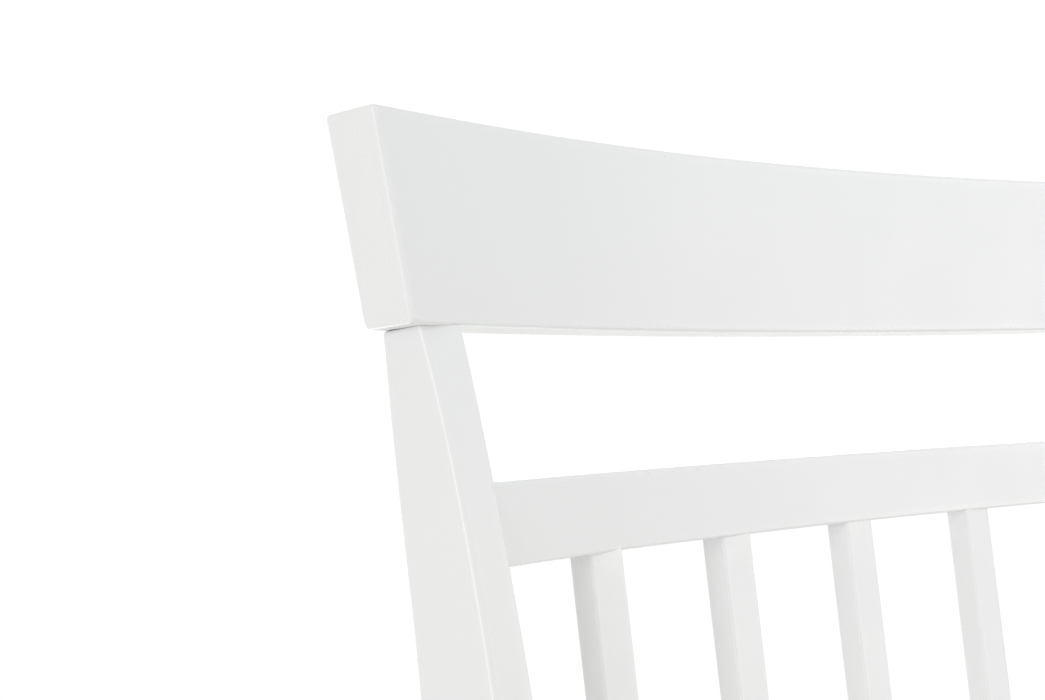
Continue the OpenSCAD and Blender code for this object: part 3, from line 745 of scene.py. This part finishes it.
piece("side_stretcher_left_bar", side_stretcher(), paint_y, "side_stretcher_left", mirror=True)
piece("side_stretcher_right_bar", side_stretcher(), paint_y, "side_stretcher_right")
piece("front_stretcher_bar", front_stretcher(), paint_x, "front_stretcher")
piece("rear_stretcher_bar", rear_stretcher(), paint_x, "rear_stretcher")

# ---------------------------------------------------------------- CAD nodes that stay, with eased edges and better finishes
for name, mat, width in (
    ("seat", paint_x, 2.4), ("seat_rail_front", paint_x, 1.8), ("seat_rail_back", paint_x, 1.8),
    ("seat_rail_left", paint_y, 1.8), ("seat_rail_right", paint_y, 1.8),
    ("corner_block_front_left", wood, 0.8), ("corner_block_front_right", wood, 0.8),
    ("corner_block_back_left", wood, 0.8), ("corner_block_back_right", wood, 0.8),
    ("crest_dowels", wood, 0.0), ("seat_screws", steel, 0.0), ("block_screws", steel, 0.0),
    ("rocker_bolts", steel, 0.3), ("rocker_barrel_nuts", steel, 0.3), ("arm_bolts", steel, 0.3),
    ("arm_barrel_nuts", steel, 0.3), ("bolt_caps", plastic, 0.6),
):
    o = nodes[name]
    for i in range(max(1, len(o.data.materials))):
        if i < len(o.data.materials):
            o.data.materials[i] = mat
        else:
            o.data.materials.append(mat)
    if width:
        w = o.modifiers.new("weld", "WELD")
        w.merge_threshold = 0.00002
        b = o.modifiers.new("ease", "BEVEL")
        b.width, b.segments, b.limit_method, b.angle_limit = width * MM, 4, "ANGLE", rad(32)
        b.use_clamp_overlap = True
        n = o.modifiers.new("normals", "WEIGHTED_NORMAL")
        n.mode, n.weight, n.keep_sharp = "FACE_AREA", 60, True

# ---------------------------------------------------------------- floor, light and camera
floor_me = bpy.data.meshes.new("floor")
bm = bmesh.new()
bmesh.ops.create_circle(bm, cap_ends=True, segments=96, radius=2.7)
bm.to_mesh(floor_me)
bm.free()
floor = bpy.data.objects.new("floor", floor_me)
bpy.context.scene.collection.objects.link(floor)
fm = bpy.data.materials.new("floor_pale")
fm.use_nodes = True
nt = fm.node_tree
nt.nodes.clear()
g = G(nt)
outn = g.new("ShaderNodeOutputMaterial")
dif = g.new("ShaderNodeBsdfDiffuse")
dif.inputs["Color"].default_value = (0.86, 0.86, 0.86, 1)
tra = g.new("ShaderNodeBsdfTransparent")
geo = g.new("ShaderNodeNewGeometry")
ln = g.new("ShaderNodeVectorMath", operation="LENGTH")
nt.links.new(geo.outputs["Position"], ln.inputs[0])
fade = g.range(ln.outputs["Value"], 1.1, 2.6, 0.0, 1.0, smooth=True)
mixs = g.new("ShaderNodeMixShader")
nt.links.new(fade, mixs.inputs[0])
nt.links.new(dif.outputs[0], mixs.inputs[1])
nt.links.new(tra.outputs[0], mixs.inputs[2])
nt.links.new(mixs.outputs[0], outn.inputs[0])
floor_me.materials.append(fm)

# a white cyclorama far behind everything: only the camera sees it, and it lights nothing
dome_me = bpy.data.meshes.new("backdrop")
bm = bmesh.new()
bmesh.ops.create_icosphere(bm, subdivisions=4, radius=40.0)
bm.to_mesh(dome_me)
bm.free()
dome = bpy.data.objects.new("backdrop", dome_me)
bpy.context.scene.collection.objects.link(dome)
dm = bpy.data.materials.new("backdrop_white")
dm.use_nodes = True
dm.node_tree.nodes.clear()
g = G(dm.node_tree)
em = g.new("ShaderNodeEmission")
em.inputs["Color"].default_value = (1, 1, 1, 1)
em.inputs["Strength"].default_value = 1.02
dm.node_tree.links.new(em.outputs[0], g.new("ShaderNodeOutputMaterial").inputs[0])
dome_me.materials.append(dm)
dome.visible_diffuse = dome.visible_glossy = dome.visible_transmission = False
dome.visible_volume_scatter = dome.visible_shadow = False

world = bpy.data.worlds.new("studio")
bpy.context.scene.world = world
world.use_nodes = True
bg = world.node_tree.nodes["Background"]
bg.inputs[0].default_value = (0.708, 0.715, 0.674, 1)
bg.inputs[1].default_value = 1.0


def soft(name, loc, target, size, watts):
    """A softbox; watts is its strength in red, green and blue."""
    d = bpy.data.lights.new(name, "AREA")
    d.shape, d.size, d.size_y = "RECTANGLE", size[0], size[1]
    top = max(watts)
    d.energy, d.color = top, tuple(w / top for w in watts)
    o = bpy.data.objects.new(name, d)
    bpy.context.scene.collection.objects.link(o)
    o.location = loc
    o.rotation_mode = "QUATERNION"
    o.rotation_quaternion = (Vector(target) - Vector(loc)).to_track_quat("-Z", "Y")
    o.visible_camera = False
    return o


AIM = (-0.15, 0.2, 0.9)


def around(azimuth, dist, z):
    """A place round the back's left end: azimuth runs from -X towards -Y."""
    a = rad(azimuth)
    return (AIM[0] - dist * math.cos(a), AIM[1] - dist * math.sin(a), z)


soft("softbox_left", around(13.5, 2.2, 1.1), AIM, (0.55, 1.2), (12.8, 12.1, 13.2))
soft("softbox_strip", around(46, 2.2, 1.25), AIM, (0.25, 1.6), (1.8, 1.8, 1.8))
soft("softbox_right", around(140, 2.2, 1.1), AIM, (0.7, 1.2), (6.9, 6.4, 6.3))
soft("softbox_high", (0.62, -0.48, 1.85), (0, 0.25, 1.0), (0.5, 0.5), (1.9, 2.2, 2.5))
soft("softbox_side", (1.1, -0.2, 1.5), (0.0, 0.25, 1.0), (0.5, 0.5), (0.45, 0.35, 0.7))
soft("softbox_top", (-0.1, 0.5, 2.6), AIM, (1.2, 1.2), (3.6, 3.6, 3.6))
soft("bounce_low", (0.0, 1.9, 0.5), (-0.1, 0.25, 0.95), (1.6, 0.7), (3.0, 3.0, 3.0))
soft("bounce_under", (0.3, 0.75, 0.2), (0.1, 0.25, 0.95), (0.9, 0.35), (2.3, 2.3, 2.2))
soft("bounce_behind", (1.3, 1.75, 1.0), (0.0, 0.25, 0.95), (1.8, 0.9), (8.0, 8.0, 8.0))

F_PX, PSI, PITCH_DEG, ROLL = 2037.336, 44.239, -3.747, 3.104
ps, th, ro = rad(PSI), rad(PITCH_DEG), rad(ROLL)
L = Vector((math.sin(ps) * math.cos(th), math.cos(ps) * math.cos(th), math.sin(th)))
R = Vector((math.cos(ps), -math.sin(ps), 0))
U = R.cross(L)
R2, U2 = R * math.cos(ro) + U * math.sin(ro), -R * math.sin(ro) + U * math.cos(ro)
cam_d = bpy.data.cameras.new("camera")
cam_d.sensor_width, cam_d.sensor_fit, cam_d.lens = 36.0, "HORIZONTAL", F_PX * 36.0 / 1045.0
cam_d.clip_start, cam_d.clip_end = 0.02, 100
cam = bpy.data.objects.new("camera", cam_d)
bpy.context.scene.collection.objects.link(cam)
m = Matrix((R2, U2, -L)).transposed().to_4x4()
m.translation = Vector((-0.760864, -0.321954, 1.004212))
cam.matrix_world = m
bpy.context.scene.camera = cam
bpy.context.scene.view_settings.view_transform = "Standard"
bpy.context.scene.view_settings.look = "None"

bpy.context.view_layer.update()
